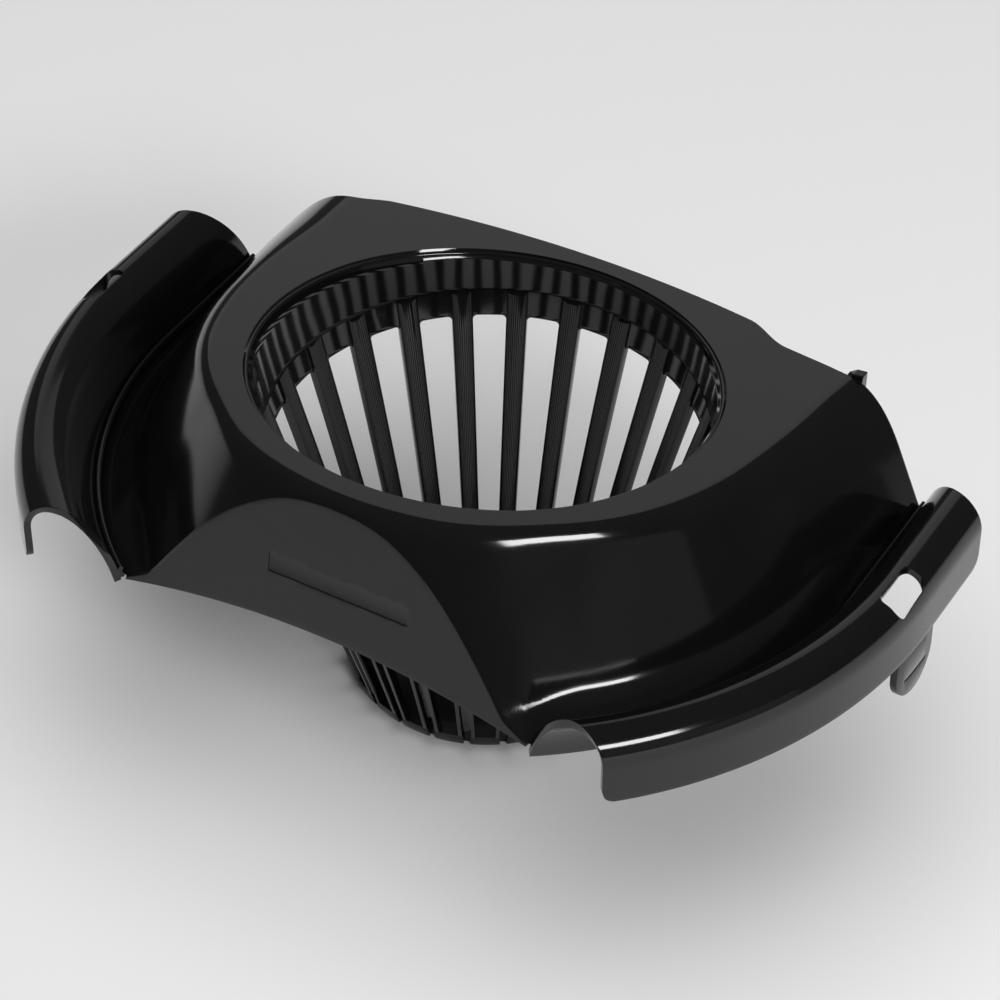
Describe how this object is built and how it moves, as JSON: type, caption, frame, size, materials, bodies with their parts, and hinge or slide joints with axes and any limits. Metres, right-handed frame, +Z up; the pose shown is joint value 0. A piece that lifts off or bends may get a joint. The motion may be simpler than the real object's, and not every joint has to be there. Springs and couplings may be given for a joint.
{
  "type": "bucket wringer insert",
  "caption": "Clip-on mop wringer: a ribbed conical basket in a sloping deck, with rim channels and snap tabs that hook over an oval bucket",
  "frame": {"origin": "centre of the underside of the basket floor", "axes": "+Z up along the basket axis, +Y to the rear where the deck is low, +X to the right seen from the front wall"},
  "size_m": [0.286, 0.1763, 0.123],
  "materials": {
    "black_plastic": "black polypropylene, fine satin on the walls and gloss on the ribs and flanks"
  },
  "bodies": {
    "moulding": {"front_shoulder": "black_plastic", "flank_left": "black_plastic", "flank_right": "black_plastic", "wing_left": "black_plastic", "wing_right": "black_plastic", "deck_plate": "black_plastic", "basket_collar": "black_plastic", "basket_band": "black_plastic", "rib_01": "black_plastic", "rib_02": "black_plastic", "rib_03": "black_plastic", "rib_04": "black_plastic", "rib_05": "black_plastic", "rib_06": "black_plastic", "rib_07": "black_plastic", "rib_08": "black_plastic", "rib_09": "black_plastic", "rib_10": "black_plastic", "rib_11": "black_plastic", "rib_12": "black_plastic", "rib_13": "black_plastic", "rib_14": "black_plastic", "rib_15": "black_plastic", "rib_16": "black_plastic", "rib_17": "black_plastic", "rib_18": "black_plastic", "rib_19": "black_plastic", "rib_20": "black_plastic", "rib_21": "black_plastic", "rib_22": "black_plastic", "rib_23": "black_plastic", "rib_24": "black_plastic", "basket_floor": "black_plastic", "rim_channel_left": "black_plastic", "rim_channel_right": "black_plastic", "valley_bead_left": "black_plastic", "valley_bead_right": "black_plastic", "front_wall": "black_plastic", "rear_fin": "black_plastic"},
    "latch_tab_left": {"latch_tab_left": "black_plastic"},
    "latch_tab_right": {"latch_tab_right": "black_plastic"}
  },
  "joints": [
    {"name": "latch_flex_right", "type": "hinge", "parent": "moulding", "child": "latch_tab_right", "pos_m": [0.143, -0.0012, 0.0716], "axis": [0, -1, 0], "range_deg": [0, 10], "stiffness_Nm_per_rad": 0.5},
    {"name": "latch_flex_left", "type": "hinge", "parent": "moulding", "child": "latch_tab_left", "pos_m": [-0.143, -0.0012, 0.0716], "axis": [0, 1, 0], "range_deg": [0, 10], "stiffness_Nm_per_rad": 0.5}
  ]
}
